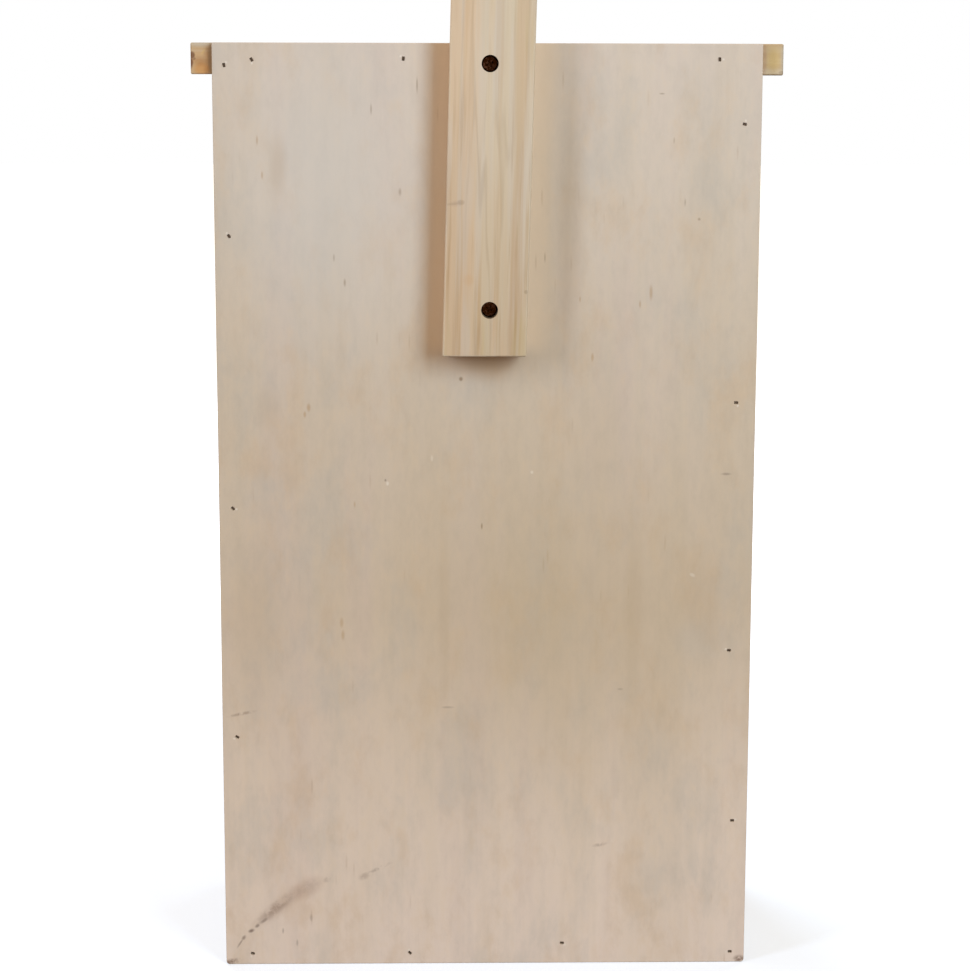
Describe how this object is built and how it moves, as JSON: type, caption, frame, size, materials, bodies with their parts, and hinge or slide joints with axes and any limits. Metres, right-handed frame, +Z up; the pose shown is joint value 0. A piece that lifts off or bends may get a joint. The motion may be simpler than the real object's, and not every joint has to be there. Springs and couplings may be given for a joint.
{
  "type": "bee hotel",
  "caption": "Wall-hung wooden box with a plywood back, a hanging batten and tiers of bored canes, drilled blocks and logs for solitary bees.",
  "frame": {"origin": "middle of the footprint at the underside of the floor board", "axes": "+Z up, the nest holes face -Y, the back panel and the batten are at +Y"},
  "size_m": [0.324, 0.196, 0.6065],
  "materials": {
    "plywood": "bare pale plywood",
    "softwood": "planed bare pine",
    "hardwood": "sawn bare beech",
    "log_wood": "sawn end grain, bark on",
    "bamboo": "dry cane, sawn ends",
    "steel": "dull wire steel"
  },
  "bodies": {
    "root": {"back_panel": "plywood", "left_side_board": "softwood", "right_side_board": "softwood", "floor_board": "softwood", "roof_board": "softwood", "upper_shelf": "softwood", "lower_shelf": "softwood", "left_attic_divider": "softwood", "right_attic_divider": "softwood", "hanging_batten": "softwood", "batten_screws": "steel", "left_attic_block": "hardwood", "right_attic_block": "hardwood", "panel_brads": "steel", "roof_brads": "steel", "side_brads": "steel", "floor_brads": "steel", "nest_block_01": "hardwood", "nest_block_02": "hardwood", "nest_block_03": "hardwood", "log_section_01": "log_wood", "log_section_02": "log_wood", "log_section_03": "log_wood", "log_section_04": "log_wood", "log_section_05": "log_wood", "log_section_06": "log_wood", "log_section_07": "log_wood", "log_section_08": "log_wood", "log_section_09": "log_wood", "log_section_10": "log_wood", "log_section_11": "log_wood", "log_section_12": "log_wood", "log_section_13": "log_wood", "bamboo_cane_01": "bamboo", "bamboo_cane_02": "bamboo", "bamboo_cane_03": "bamboo", "bamboo_cane_04": "bamboo", "bamboo_cane_05": "bamboo", "bamboo_cane_06": "bamboo", "bamboo_cane_07": "bamboo", "bamboo_cane_08": "bamboo", "bamboo_cane_09": "bamboo", "bamboo_cane_10": "bamboo", "bamboo_cane_11": "bamboo", "bamboo_cane_12": "bamboo", "bamboo_cane_13": "bamboo", "bamboo_cane_14": "bamboo", "bamboo_cane_15": "bamboo", "bamboo_cane_16": "bamboo", "bamboo_cane_17": "bamboo", "bamboo_cane_18": "bamboo", "bamboo_cane_19": "bamboo", "bamboo_cane_20": "bamboo", "bamboo_cane_21": "bamboo", "bamboo_cane_22": "bamboo", "bamboo_cane_23": "bamboo", "bamboo_cane_24": "bamboo", "bamboo_cane_25": "bamboo", "bamboo_cane_26": "bamboo", "bamboo_cane_27": "bamboo"}
  },
  "joints": []
}
